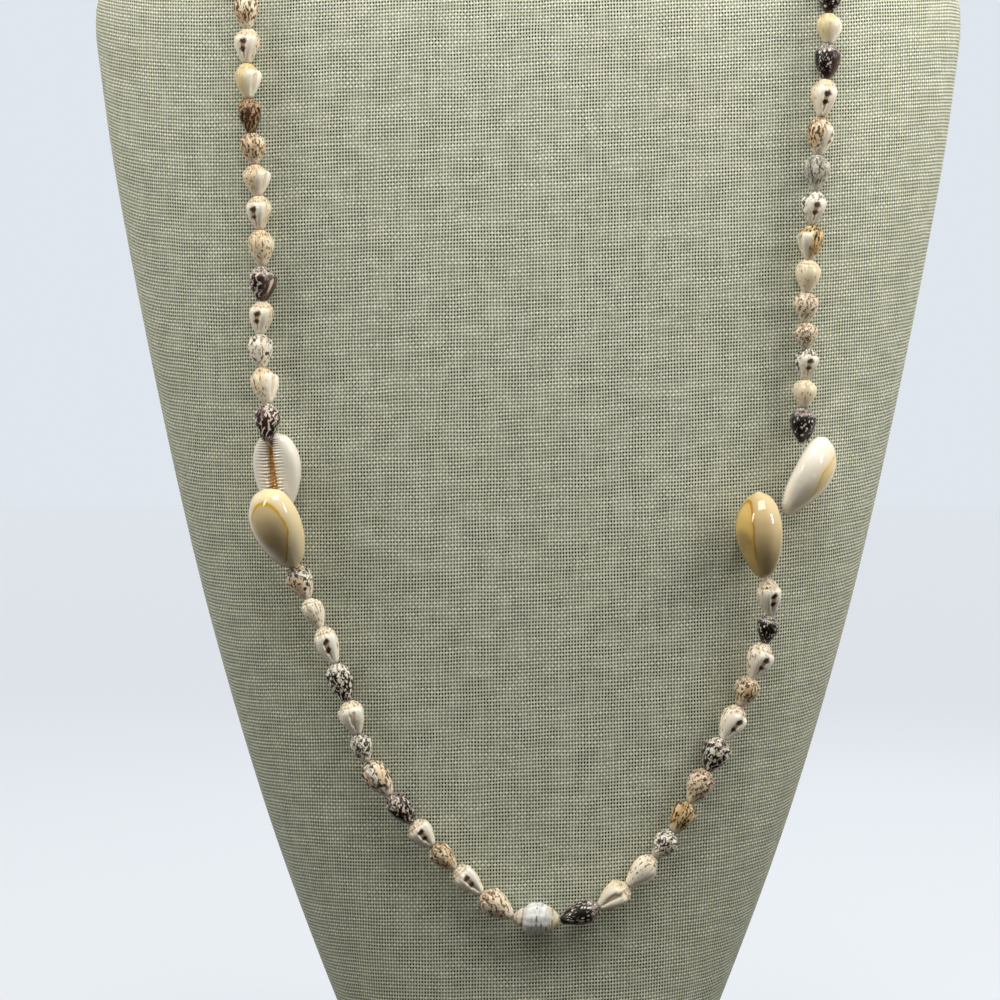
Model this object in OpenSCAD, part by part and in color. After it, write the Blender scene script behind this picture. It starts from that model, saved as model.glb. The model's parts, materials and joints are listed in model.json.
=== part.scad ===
// Cowrie shell necklace on a linen covered neck bust.
// One long string of small dove shells with four ring cowries and a white
// whelk at the bottom lies on the chest and runs round behind the neck.
// The chest faces -Y, X runs to the viewer's right, Z points up, and the
// origin is the middle of the bust's flat foot. Sizes are in millimetres.

/* [Neck bust] */
// Height from the foot to the top of the neck
bust_height = 400; // [380:5:430]
// Width across the shoulders
shoulder_width = 238; // [222:2:250]
// Depth of the chest from front to back
chest_depth = 90; // [80:1:105]
// Width of the foot
foot_width = 90; // [80:1:100]
// Depth of the foot from front to back
foot_depth = 108; // [96:1:120]
// Width of the neck
neck_width = 100; // [90:1:110]
// Depth of the neck from front to back
neck_depth = 100; // [90:1:110]

/* [Small shells] */
// Length of string that a hidden small shell takes up
shell_length = 9; // [7.5:0.1:11]
// Width of a hidden small shell
shell_width = 6.4; // [5:0.1:7.5]
// How far the outer lip stands out, as a share of the radius
lip_share = 0.1; // [0:0.01:0.14]
// How deep the mouth is, as a share of the radius
mouth_share = 0.16; // [0:0.01:0.3]

/* [Cowries] */
// Length of a full size cowrie
cowrie_length = 22.4; // [20:0.2:24]
// Width of a full size cowrie
cowrie_width = 14; // [12:0.2:15]
// Height of a full size cowrie's back above its widest line
back_height = 6.4; // [5:0.1:7.5]
// Depth of its flat side below its widest line
base_depth = 3.6; // [3:0.1:4.5]
// Width of the slit along the flat side
slit_width = 1.7; // [1.2:0.1:2.2]

/* [Whelk] */
// Length of the whelk from its tip to its mouth end
whelk_length = 11.8; // [10:0.1:14]
// Width of its largest whorl
whelk_width = 8.2; // [7:0.1:9.5]

/* [Thread] */
// Diameter of the thread
thread_d = 0.5; // [0.3:0.05:0.6]
// Diameter of the hole drilled through a shell
hole_d = 1; // [0.8:0.05:1.4]

/* [Fit] */
// Clear space between two shells on the thread
shell_gap = 0.35; // [0.25:0.05:0.6]
// Clear space between a shell and the cloth
cloth_gap = 0.3; // [0.2:0.05:0.8]

/* [Hidden] */
// Sides and rings of the meshed forms
bust_sides = 40;
bands_per_section = 2;
shell_sides = 10;
whelk_sides = 12;
cowrie_sides = 16;
cowrie_rings = 8;
thread_sides = 5;
steps_per_span = 10;

// Cross sections of the bust. Columns: height as a share of the bust, then
// width, front and back as shares of the named part, then squareness, where
// 2 is an ellipse.
foot_sections = [
  [0.000, 1.00, 0.39, 0.61, 2.6]
];
chest_sections = [
  [0.065, 0.468, 0.467, 0.70, 2.6],
  [0.155, 0.582, 0.467, 0.66, 2.6],
  [0.250, 0.682, 0.467, 0.62, 2.6],
  [0.348, 0.771, 0.467, 0.58, 2.6],
  [0.475, 0.866, 0.467, 0.55, 2.5],
  [0.603, 0.950, 0.467, 0.53, 2.5],
  [0.675, 0.985, 0.462, 0.52, 2.4],
  [0.718, 0.998, 0.452, 0.53, 2.3],
  [0.748, 0.950, 0.437, 0.54, 2.2],
  [0.778, 0.835, 0.422, 0.55, 2.1]
];
neck_sections = [
  [0.806, 1.60, 0.37, 0.51, 2.1],
  [0.836, 1.24, 0.37, 0.52, 2.1],
  [0.870, 1.06, 0.39, 0.52, 2.0],
  [0.916, 1.00, 0.40, 0.52, 2.0],
  [0.985, 1.00, 0.40, 0.52, 2.0],
  [1.000, 0.94, 0.37, 0.49, 2.0]
];

// The string's chosen points, in four stretches that run down from the nape
// and end at the cowries and the whelk. A point on the front is [across,
// height]; one further round is [turn, height, 1], with the turn in degrees.
string_route = [
  [[-179.9, 338, 1], [-140, 337, 1], [-108, 333, 1], [-80, 325, 1], [-52, 309, 1], [-74.6, 290],
    [-73, 260], [-70.6, 236], [-69, 212], [-69.2, 192], [-65.8, 177]],
  [[-57.4, 127.6], [-49.8, 110], [-41.4, 84.6], [-35.6, 77], [-24.6, 64], [-12.4, 52.4]],
  [[61.4, 123.4], [57.4, 107.6], [49.6, 91.4], [41.2, 75.4], [32.4, 61.6], [18, 48.8]],
  [[179.9, 338, 1], [140, 337, 1], [108, 333, 1], [80, 325, 1], [54, 309, 1], [79, 290],
    [77, 266], [74.4, 242], [71.6, 208], [71.6, 188], [70.4, 176]]
];
// Middle of the whelk, across and up, and the lean of its mouth end downwards
whelk_place = [1.5, 46];
whelk_lean = 4;
// Length of string over which the thread climbs to a cowrie
climb_reach = 36;

// Small shells that show, down each stretch. Columns: length of string,
// width, and how far the mouth turns from the viewer towards the right.
upper_left_shells = [
  [8.7, 6.6, 180], [8.9, 6.6, 0], [9.3, 6.4, 60], [9.0, 6.0, 180], [8.1, 6.6, 180], [8.1, 6.6, 75],
  [8.8, 6.4, -10], [9.4, 6.6, 150], [9.1, 6.8, 75], [8.6, 6.4, 0], [8.7, 6.6, 180], [9.7, 6.8, 75],
  [9.9, 6.6, 180]
];
lower_left_shells = [
  [8.7, 6.9, 180], [8.2, 5.6, 150], [10.0, 6.2, 15], [10.2, 6.6, 180], [8.8, 6.8, 20], [7.5, 5.6, 170],
  [10.6, 7.0, 180], [9.0, 6.2, 180], [7.8, 6.4, 10], [8.2, 5.8, 180], [9.2, 6.2, 10], [9.7, 6.8, 150]
];
lower_right_shells = [
  [9.2, 6.2, 10], [7.4, 5.8, 180], [9.5, 6.6, 15], [7.9, 6.6, 180], [9.7, 6.4, 20], [9.0, 7.2, 200],
  [9.4, 6.8, 180], [8.6, 6.4, 160], [8.0, 6.2, 180], [10.0, 6.2, 60], [9.3, 6.6, 0], [10.5, 6.0, 180]
];
upper_right_shells = [
  [8.2, 6.4, 180], [8.0, 6.4, 60], [9.3, 6.8, 75], [10.0, 6.6, 0], [9.8, 6.8, 60], [9.5, 6.8, 150],
  [8.7, 6.4, 0], [9.0, 6.8, -75], [8.5, 6.6, 180], [7.7, 6.4, 180], [6.7, 6.2, 150], [8.2, 6.2, 0],
  [7.2, 6.2, 180], [9.3, 6.8, 180]
];
// A hidden shell's mouth turns on by this much from one shell to the next
hidden_turn = 137;

// The four cowries. Columns: middle across and up, size as a share of the
// full size, then degrees: lean of the lower end to the right, nod of the
// lower end out from the cloth, and turn of the back towards the right.
// Then how far it is held off the cloth by the shell that it leans on, and
// two powers: under 1 has fuller ends, and over 1 has its widest place lower.
upper_left = [-65.4, 160.3, 0.92, 2, -9, 174, 0, 0.72, 1.05];
lower_left = [-64.0, 146.0, 1, 9, -25, -16, 2.2, 0.72, 1.05];
upper_right = [71.4, 159.6, 1, -28, -4, 62, 0, 0.85, 1.12];
lower_right = [59.4, 144.2, 1, 4, 0, -72, 0, 0.9, 1.12];
// Stations along an upper cowrie where the small shell above it stops
left_mouth_station = 0.07;
right_mouth_station = 0.18;
// Depth of the thread below a cowrie's widest line where it leaves the slit
thread_depth = 0.9;
// Depth of the slit's floor below the widest line
slit_floor = 0.3;

// Stations along a small shell, top to tip, with the radius as a share
shell_profile = [[0.07, 0.60], [0.26, 1.00], [0.56, 0.88], [0.92, 0.42]];
// A cowrie's form. Columns: station from its upper end, half width, height of
// the back and depth of the flat side, as shares of the named sizes.
cowrie_form = [
  [0.00, 0.05, 0.05, 0.10], [0.04, 0.42, 0.40, 0.60], [0.12, 0.69, 0.70, 0.90], [0.25, 0.92, 0.94, 1.00],
  [0.40, 1.00, 1.00, 1.00], [0.55, 0.95, 0.91, 0.98], [0.70, 0.80, 0.70, 0.90], [0.84, 0.58, 0.46, 0.70],
  [0.95, 0.32, 0.25, 0.42], [1.00, 0.05, 0.05, 0.10]
];
// The same for the whelk, with a step at each seam between two whorls
whelk_profile = [
  [0.09, 0.27], [0.17, 0.46], [0.22, 0.50], [0.25, 0.64], [0.36, 0.88], [0.50, 1.00], [0.68, 0.92],
  [0.86, 0.62], [0.96, 0.36]
];
// The whelk's mouth turns away from the viewer
whelk_turn = 200;

// Short sums
function unit(v) = v / norm(v);
function running(list) =
  [for (i = 0, s = 0; i <= len(list); s = s + (i < len(list) ? list[i] : 0), i = i + 1) s];
function total(list) = running(list)[len(list)];
function signed_power(v, e) = sign(v) * pow(abs(v), e);
function reversed(list) = [for (i = [len(list) - 1:-1:0]) list[i]];
function two_digits(i) = str(i < 10 ? "0" : "", i);
function column(list, c) = [for (row = list) row[c]];
function last_of(list) = list[len(list) - 1];

// Slope of column c of a table at row i, from the rows beside it
function slope(rows, i, c) =
  let (lo = max(i - 1, 0), hi = min(i + 1, len(rows) - 1))
  (rows[hi][c] - rows[lo][c]) / (rows[hi][0] - rows[lo][0]);

// Column c between rows i and i + 1, as a smooth curve through both
function smooth_column(rows, i, at, c) =
  let (h = rows[i + 1][0] - rows[i][0], u = (at - rows[i][0]) / h)
  (2 * pow(u, 3) - 3 * pow(u, 2) + 1) * rows[i][c]
  + (pow(u, 3) - 2 * pow(u, 2) + u) * h * slope(rows, i, c)
  + (3 * pow(u, 2) - 2 * pow(u, 3)) * rows[i + 1][c]
  + (pow(u, 3) - pow(u, 2)) * h * slope(rows, i + 1, c);

// A smooth curve from p1 to p2, led by the points beside them
function smooth_point(p0, p1, p2, p3, u) =
  p1 + u / 2 * (p2 - p0)
  + pow(u, 2) / 2 * (2 * p0 - 5 * p1 + 4 * p2 - p3)
  + pow(u, 3) / 2 * (3 * p1 - p0 - 3 * p2 + p3);

// Rows of height, half width, front, back and squareness of the bust
function scaled_sections(rows, width, depth) =
  [for (r = rows) [r[0] * bust_height, r[1] * width / 2, r[2] * depth, r[3] * depth, r[4]]];
sections = concat(
  scaled_sections(foot_sections, foot_width, foot_depth),
  scaled_sections(chest_sections, shoulder_width, chest_depth),
  scaled_sections(neck_sections, neck_width, neck_depth)
);
function section_at(z) =
  let (
    held = min(max(z, 0), bust_height),
    i = max([for (k = [0:len(sections) - 2]) if (sections[k][0] <= held) k])
  )
  [for (c = [1:4]) smooth_column(sections, i, held, c)];

// The bust's surface at a turn from the front and a height
function cloth_point(turn, z) =
  let (s = section_at(z), depth = cos(turn) > 0 ? s[1] : s[2])
  [s[0] * signed_power(sin(turn), 2 / s[3]), -depth * signed_power(cos(turn), 2 / s[3]), z];

// The direction straight out of the cloth there
function outward(turn, z) =
  unit(cross(cloth_point(turn + 1, z) - cloth_point(turn - 1, z), cloth_point(turn, z + 1) - cloth_point(turn, z - 1)));
function raised(turn, z, lift) = cloth_point(turn, z) + lift * outward(turn, z);

// The turn of the front's point that lies so far across
function bare_turn(across, z) =
  let (s = section_at(z))
  sign(across) * asin(pow(min(abs(across) / s[0], 1), s[3] / 2));

// The turn at which a point lifted off the cloth lies so far across
function turn_at(across, z, lift) = bare_turn(across - lift * outward(bare_turn(across, z), z)[0], z);

// The turn of any point beside the bust
function turn_of(p) =
  let (s = section_at(p[2]), depth = p[1] < 0 ? s[1] : s[2])
  atan2(signed_power(p[0] / s[0], s[3] / 2), signed_power(-p[1] / depth, s[3] / 2));

// Half width, back or base of a cowrie as a share, at a station from 0 at
// its upper end to 1 at its lower end
function cowrie_share(c, v, column) =
  let (
    held = pow(min(max(v, 0), 1), c[8]),
    i = max([for (k = [0:len(cowrie_form) - 2]) if (cowrie_form[k][0] <= held) k])
  )
  pow(smooth_column(cowrie_form, i, held, column), c[7]);

// A point of a cowrie as [across, back, along], at a station and an angle
// round from the middle of its back
function cowrie_point(c, v, angle) = c[2] * [
  cowrie_width / 2 * cowrie_share(c, v, 1) * sin(angle),
  cos(angle) > 0
    ? back_height * cowrie_share(c, v, 2) * cos(angle)
    : base_depth * cowrie_share(c, v, 3) * signed_power(cos(angle), 0.7),
  cowrie_length * (v - 0.5)
];
function cowrie_points(c) = concat(
  [cowrie_point(c, 0, 0)],
  [for (i = [1:cowrie_rings], k = [0:cowrie_sides - 1])
    cowrie_point(c, (1 - cos(180 * i / (cowrie_rings + 1))) / 2, 360 * k / cowrie_sides)],
  [cowrie_point(c, 1, 0)]
);

// The turn of the place on the bust where it lies
function cowrie_turn(c) = turn_at(c[0], c[1], back_height);

// Its directions across, back and along in the bust's frame
function cowrie_axes(c) =
  let (
    out = outward(cowrie_turn(c), c[1]),
    down = unit([0, 0, -1] + out[2] * out),
    leaned = down * cos(c[3]) + cross(out, down) * sin(c[3]),
    side = cross(out, leaned),
    along = leaned * cos(c[4]) + out * sin(c[4]),
    back = cross(along, side) * cos(c[5]) + side * sin(c[5])
  )
  [cross(back, along), back, along];
function in_frame(p, axes) = p[0] * axes[0] + p[1] * axes[1] + p[2] * axes[2];

// Its middle, where the whole shell is just clear of the cloth
function cowrie_middle(c) =
  let (
    turn = cowrie_turn(c),
    out = outward(turn, c[1]),
    axes = cowrie_axes(c),
    reach = -min([for (p = cowrie_points(c)) in_frame(p, axes) * out])
  )
  raised(turn, c[1], reach + cloth_gap + c[6]);

// A point in the middle of its slit, at a station and a depth
function slit_point(c, v, depth) =
  cowrie_middle(c) + in_frame([0, -depth, c[2] * cowrie_length * (v - 0.5)], cowrie_axes(c));
function base_depth_at(c, v) = c[2] * base_depth * cowrie_share(c, v, 3);

// Where the small shells above and below a pair of cowries stop
function mouth_above(c, v) = slit_point(c, v, base_depth_at(c, v) + shell_gap * 2.5 + hole_d / 2);
function end_below(c) = slit_point(c, 1 + shell_gap / cowrie_length, thread_depth);
upper_left_mouth = mouth_above(upper_left, left_mouth_station);
lower_left_end = end_below(lower_left);
upper_right_mouth = mouth_above(upper_right, right_mouth_station);
lower_right_end = end_below(lower_right);

// The thread's way down through the slits of each pair of cowries
left_slits = [
  slit_point(upper_left, 0.2, slit_floor + thread_d),
  slit_point(upper_left, 0.65, slit_floor + thread_d),
  slit_point(upper_left, 0.85, base_depth * 0.7),
  slit_point(lower_left, 0.14, base_depth * 1.05),
  slit_point(lower_left, 0.3, base_depth * 0.8),
  slit_point(lower_left, 0.55, base_depth * 0.5)
];
right_slits = [
  slit_point(upper_right, 0.3, base_depth * 0.5),
  slit_point(upper_right, 1.05, thread_depth),
  slit_point(lower_right, 0.22, base_depth * 1.12),
  slit_point(lower_right, 0.34, base_depth * 0.5)
];

// The four stretches of the string as [turn, height], ends included. The
// whelk is a little further from the shells beside it, where the string bends.
mean_lift = shell_width / 2 + cloth_gap;
function front_place(p) = [turn_at(p[0], p[2], back_height), p[2]];
function as_turns(route) =
  [for (p = route) len(p) == 3 ? [p[0], p[1]] : [turn_at(p[0], p[1], mean_lift), p[1]]];
whelk_gap = shell_gap * 2;
whelk_reach = (whelk_length + whelk_gap) / 2 * [cos(whelk_lean), -sin(whelk_lean)];
stretches = [
  concat(as_turns(string_route[0]), [front_place(upper_left_mouth)]),
  concat([front_place(lower_left_end)], as_turns(concat(string_route[1], [whelk_place - whelk_reach]))),
  concat([front_place(lower_right_end)], as_turns(concat(string_route[2], [whelk_place + whelk_reach]))),
  concat(as_turns(string_route[3]), [front_place(upper_right_mouth)])
];

// Closely spaced points on the smooth curve through a stretch's points
function cut_finely(points) = let (n = len(points)) concat(
  [for (i = [0:n - 2], k = [0:steps_per_span - 1])
    smooth_point(
      points[max(i - 1, 0)], points[i], points[i + 1], points[min(i + 2, n - 1)], k / steps_per_span
    )],
  [points[n - 1]]
);
function string_lengths(cuts) =
  let (p = [for (c = cuts) raised(c[0], c[1], mean_lift)])
  running([for (i = [1:len(p) - 1]) norm(p[i] - p[i - 1])]);
cuts = [for (s = stretches) cut_finely(s)];
cut_lengths = [for (c = cuts) string_lengths(c)];

// Shells of an upper stretch: hidden ones that fill it, then those that show
function filled(length, shown) =
  let (rest = length - total(column(shown, 0)), n = round(rest / shell_length))
  concat([for (i = [0:n - 1]) [rest / n, shell_width, i * hidden_turn]], shown);
shells = [
  filled(last_of(cut_lengths[0]), upper_left_shells),
  lower_left_shells,
  lower_right_shells,
  filled(last_of(cut_lengths[3]), upper_right_shells)
];

// Height of the thread above the cloth between two shells
function rest_lift(widths, k) =
  max(widths[max(k - 1, 0)], widths[min(k, len(widths) - 1)]) / 2 * (1 + lip_share) + cloth_gap;
function climb(distance) = pow(max(1 - distance / climb_reach, 0), 1.3);
function height_over(p, place) = (p - cloth_point(place[0], place[1])) * outward(place[0], place[1]);

// Points of the thread between the shells of a stretch, which climbs from
// the cloth to the given points at its cowrie
function knots(cuts, lengths, list, first, last, next_width = 0) =
  let (
    turn_table = [for (i = [0:len(cuts) - 1]) [lengths[i], cuts[i][0]]],
    height_table = [for (i = [0:len(cuts) - 1]) [lengths[i], cuts[i][1]]],
    stops = running(column(list, 0)) * last_of(lengths) / total(column(list, 0)),
    n = len(list),
    widths = concat(column(list, 1), next_width),
    first_rise = is_undef(first) ? 0 : height_over(first, cuts[0]) - rest_lift(widths, 0),
    last_rise = is_undef(last) ? 0 : height_over(last, last_of(cuts)) - rest_lift(widths, n)
  )
  [for (k = [0:n])
    let (
      s = stops[k],
      rise = first_rise * climb(s) + last_rise * climb(last_of(lengths) - s)
    )
    k == 0 && !is_undef(first) ? first
    : k == n && !is_undef(last) ? last
    : raised(lookup(s, turn_table), lookup(s, height_table), rest_lift(widths, k) + rise)];
string_knots = [
  knots(cuts[0], cut_lengths[0], shells[0], undef, upper_left_mouth),
  knots(cuts[1], cut_lengths[1], shells[1], lower_left_end, undef, whelk_width),
  knots(cuts[2], cut_lengths[2], shells[2], lower_right_end, undef, whelk_width),
  knots(cuts[3], cut_lengths[3], shells[3], undef, upper_right_mouth)
];

// The whole loop of the thread, down the left and up the right
right_to_nape = reversed(string_knots[3]);
thread_points = concat(
  string_knots[0], left_slits, string_knots[1], reversed(string_knots[2]), reversed(right_slits),
  [for (i = [0:len(right_to_nape) - 2]) right_to_nape[i]]
);

// Two directions square to a line, the first as far out of the cloth as can be
function square_to(line, p) =
  let (side = unit(cross(outward(turn_of(p), p[2]), line)))
  [cross(line, side), side];

// A ring of points round p, one for each radius
function ring(p, axes, radii, start) =
  [for (k = [0:len(radii) - 1])
    let (angle = start + 360 * k / len(radii))
    p + radii[k] * (axes[0] * cos(angle) + axes[1] * sin(angle))];

// Share of a shell's radius at an angle from its mouth
function shell_outline(angle) =
  1 - mouth_share * pow(max(cos(angle), 0), 10) + lip_share * pow(max(cos(angle - 52), 0), 6);

// Points of a shell on the line from a to b, drilled along it
function shell_points(a, b, width, turn, profile, sides, gap = shell_gap) =
  let (
    line = unit(b - a),
    axes = square_to(line, (a + b) / 2),
    top = a + line * gap / 2,
    length = norm(b - a) - gap,
    hole = [for (k = [1:sides]) hole_d / 2],
    body = [for (k = [0:sides - 1]) width / 2 * shell_outline(360 * k / sides)]
  )
  concat(
    ring(top, axes, hole, turn),
    [for (row = profile) each ring(top + line * length * row[0], axes, row[1] * body, turn)],
    ring(top + line * length, axes, hole, turn)
  );

// Triangles between one ring of points and the next, given their first points
function band_faces(a, b, sides) =
  [for (k = [0:sides - 1]) let (l = (k + 1) % sides) each [[a + k, a + l, b + l], [a + k, b + l, b + k]]];

// Triangles of a drilled body, whose last ring joins its first
function drilled_faces(rings, sides, first = 0) =
  [for (i = [0:rings - 1]) each band_faces(first + i * sides, first + (i + 1) % rings * sides, sides)];

// The bust's rings, with more than one band between two sections
bust_levels = concat(
  [for (i = [0:len(sections) - 2], k = [0:bands_per_section - 1])
    sections[i][0] + (sections[i + 1][0] - sections[i][0]) * k / bands_per_section],
  [bust_height]
);

// All shells of a stretch as one list of points
shell_rings = len(shell_profile) + 2;
function one_shell(i, k) =
  let (s = shells[i][k])
  shell_points(string_knots[i][k], string_knots[i][k + 1], s[1], s[2], shell_profile, shell_sides);

module neck_bust() {
  rings = len(bust_levels);
  levels = [for (z = bust_levels) each [for (k = [0:bust_sides - 1]) cloth_point(360 * k / bust_sides, z)]];
  walls = [for (i = [0:rings - 2]) each band_faces((i + 1) * bust_sides, i * bust_sides, bust_sides)];
  foot = [for (k = [0:bust_sides - 1]) k];
  top = [for (k = [bust_sides - 1:-1:0]) (rings - 1) * bust_sides + k];
  color([0.72, 0.73, 0.64]) polyhedron(levels, concat([foot], walls, [top]));
}

module thread() {
  n = len(thread_points);
  round = [for (k = [1:thread_sides]) thread_d / 2];
  skin = [for (i = [0:n - 1])
    let (p = thread_points[i], line = unit(thread_points[(i + 1) % n] - thread_points[(i + n - 1) % n]))
    each ring(p, square_to(line, p), round, 0)];
  color([0.93, 0.92, 0.88]) polyhedron(skin, drilled_faces(n, thread_sides));
}

// All the small shells of an upper stretch
module shell_string(i) {
  skins = [for (k = [0:len(shells[i]) - 1]) each one_shell(i, k)];
  faces = [for (k = [0:len(shells[i]) - 1])
    each drilled_faces(shell_rings, shell_sides, k * shell_rings * shell_sides)];
  color([0.90, 0.85, 0.74]) polyhedron(skins, faces);
}

// One small shell of a lower stretch
module small_shell(i, k) {
  color([0.90, 0.85, 0.74]) polyhedron(one_shell(i, k), drilled_faces(shell_rings, shell_sides));
}

module cowrie(c, shade) {
  axes = cowrie_axes(c);
  middle = cowrie_middle(c);
  reach = c[2] * cowrie_length + 4;
  last = cowrie_rings * cowrie_sides + 1;
  upper_cap = [for (k = [0:cowrie_sides - 1]) [0, 1 + (k + 1) % cowrie_sides, 1 + k]];
  walls = [for (i = [0:cowrie_rings - 2])
    each band_faces(1 + i * cowrie_sides, 1 + (i + 1) * cowrie_sides, cowrie_sides)];
  lower_cap = [for (k = [0:cowrie_sides - 1])
    [last, last - cowrie_sides + k, last - cowrie_sides + (k + 1) % cowrie_sides]];
  color(shade) multmatrix([for (r = [0:2]) [axes[0][r], axes[1][r], axes[2][r], middle[r]]])
    difference() {
      polyhedron(cowrie_points(c), concat(upper_cap, walls, lower_cap));
      translate([-slit_width / 2, -slit_floor - back_height, -reach / 2])
        cube([slit_width, back_height, reach]);
    }
}
module upper_left_cowrie() cowrie(upper_left, [0.93, 0.92, 0.88]);
module lower_left_cowrie() cowrie(lower_left, [0.90, 0.86, 0.74]);
module upper_right_cowrie() cowrie(upper_right, [0.91, 0.90, 0.84]);
module lower_right_cowrie() cowrie(lower_right, [0.85, 0.76, 0.55]);

module bottom_whelk() {
  ends = [last_of(string_knots[1]), last_of(string_knots[2])];
  skin = shell_points(
    ends[0], ends[1], whelk_width, whelk_turn, whelk_profile, whelk_sides, whelk_gap
  );
  color([0.90, 0.91, 0.90]) polyhedron(skin, drilled_faces(len(whelk_profile) + 2, whelk_sides));
}

function numbered(name, count) = [for (k = [1:count]) str(name, two_digits(k))];
left_names = numbered("lower_left_shell_", len(lower_left_shells));
right_names = numbered("lower_right_shell_", len(lower_right_shells));

neck_bust();
thread();
shell_string(0);  // upper_left_string
shell_string(3);  // upper_right_string
upper_left_cowrie();
lower_left_cowrie();
upper_right_cowrie();
lower_right_cowrie();
bottom_whelk();
for (k = [0:len(left_names) - 1]) small_shell(1, k);
for (k = [0:len(right_names) - 1]) small_shell(2, k);
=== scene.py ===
# %% [markdown]
# # A cowrie shell necklace on a linen covered neck bust
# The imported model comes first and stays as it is. It says where every shell
# lies. Each plain solid is then replaced by a finished piece in the same place.
# Only the thread keeps its solid, with a finish on it.

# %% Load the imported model
import json
import math
import random

import bpy
from mathutils import Matrix, Vector

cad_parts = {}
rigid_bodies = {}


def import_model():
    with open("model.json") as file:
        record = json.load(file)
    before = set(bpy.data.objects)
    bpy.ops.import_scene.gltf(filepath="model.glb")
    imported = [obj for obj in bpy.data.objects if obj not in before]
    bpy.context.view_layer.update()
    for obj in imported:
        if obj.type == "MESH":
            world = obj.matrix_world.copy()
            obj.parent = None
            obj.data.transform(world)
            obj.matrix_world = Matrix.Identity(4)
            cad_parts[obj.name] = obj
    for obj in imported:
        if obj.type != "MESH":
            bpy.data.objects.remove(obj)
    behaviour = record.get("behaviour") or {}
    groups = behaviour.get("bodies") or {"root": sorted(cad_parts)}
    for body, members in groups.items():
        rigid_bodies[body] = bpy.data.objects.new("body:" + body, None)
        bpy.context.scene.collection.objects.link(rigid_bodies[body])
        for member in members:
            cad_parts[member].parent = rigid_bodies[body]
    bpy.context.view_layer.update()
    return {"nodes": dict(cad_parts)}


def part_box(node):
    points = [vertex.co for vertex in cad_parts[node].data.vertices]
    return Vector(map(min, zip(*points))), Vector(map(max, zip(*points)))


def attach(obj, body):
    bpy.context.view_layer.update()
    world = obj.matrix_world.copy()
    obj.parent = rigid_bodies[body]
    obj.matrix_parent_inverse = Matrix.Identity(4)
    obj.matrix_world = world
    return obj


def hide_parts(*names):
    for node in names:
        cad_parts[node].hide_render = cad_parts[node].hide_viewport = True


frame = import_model()
nodes = frame["nodes"]
MM = 0.001

# %% [markdown]
# ## Hands and tools
# An operator acts on whatever is selected, so every step starts by choosing:
# first the object, then its points or faces by their place. These few helpers
# do that, and the rest of the file reads like a list of moves.


# %% Choosing and finishing helpers
def take(obj):
    """Makes obj the only selected object."""
    if bpy.context.object and bpy.context.object.mode == "EDIT":
        bpy.ops.object.mode_set(mode="OBJECT")
    bpy.ops.object.select_all(action="DESELECT")
    obj.select_set(True)
    bpy.context.view_layer.objects.active = obj
    return obj


def pick(obj, test, kind="VERT"):
    """Opens obj in edit mode with the points, edges or faces chosen for which test is true."""
    take(obj)
    mesh = obj.data
    for items in (mesh.vertices, mesh.edges, mesh.polygons):
        items.foreach_set("select", [False] * len(items))
    items = {"VERT": mesh.vertices, "EDGE": mesh.edges, "FACE": mesh.polygons}[kind]
    items.foreach_set("select", [bool(test(item)) for item in items])
    bpy.context.tool_settings.mesh_select_mode = [kind == k for k in ("VERT", "EDGE", "FACE")]
    bpy.ops.object.mode_set(mode="EDIT")


def done():
    bpy.ops.object.mode_set(mode="OBJECT")


def named(name):
    """Gives the object that was just added its name."""
    obj = bpy.context.object
    obj.name = obj.data.name = name
    return obj


def add_modifier(obj, kind, **settings):
    """Adds a modifier and applies it at once."""
    take(obj)
    modifier = obj.modifiers.new(kind.title(), kind)
    for key, value in settings.items():
        setattr(modifier, key, value)
    bpy.ops.object.modifier_apply(modifier=modifier.name)


def held(x, low=0, high=1):
    """The value x, kept between low and high."""
    return min(max(x, low), high)


def smooth_over(obj, levels):
    add_modifier(obj, "SUBSURF", levels=levels, render_levels=levels)
    bpy.ops.object.shade_smooth()


def merged_copy(source, name):
    """A copy of a solid with its own mesh, its loose triangles merged."""
    obj = bpy.data.objects.new(name, source.data.copy())
    bpy.context.scene.collection.objects.link(obj)
    obj.data.materials.clear()
    for old in list(obj.data.attributes):
        if old.name == "custom_normal":
            obj.data.attributes.remove(old)
    pick(obj, lambda v: True)
    bpy.ops.mesh.remove_doubles(threshold=0.002 * MM)
    done()
    return obj


# %% [markdown]
# ## Camera, floor and light
# The camera looks straight at the chest from a guessed 65 cm. At the plane of
# the necklace its frame is 256 mm wide, which gives the lens. A soft key light
# stands high in front, so the cloth is brighter at the top. Two fills light the
# cloth from the sides and leave no highlights. Two narrow windows do the
# opposite and show only as highlights, and a rear light falls on its back. The
# floor glows by itself and throws no light on the bust. The room is pale behind
# the bust and darker in front of it.

# %% Camera
frame_width = 256 * MM
view_distance = 650 * MM
sensor_width = 36
necklace_plane = -46 * MM
frame_centre = Vector((-7.7 * MM, necklace_plane, 153 * MM))
camera_data = bpy.data.cameras.new("camera")
camera_data.sensor_width = sensor_width
camera_data.lens = sensor_width * view_distance / frame_width
camera_data.clip_start = 0.01
camera = bpy.data.objects.new("camera", camera_data)
camera.location = frame_centre - Vector((0, view_distance, 0))
camera.rotation_euler = (math.radians(90), 0, 0)
bpy.context.scene.collection.objects.link(camera)
bpy.context.scene.camera = camera
bpy.context.scene.view_settings.view_transform = "Standard"
print("lens in mm:", round(camera_data.lens, 1))


# %% [markdown]
# ## Shader maths
# A pattern is easier to read as a sum than as a web of nodes. A Term wraps one
# socket, and adding or multiplying Terms adds the Math nodes.

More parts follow.
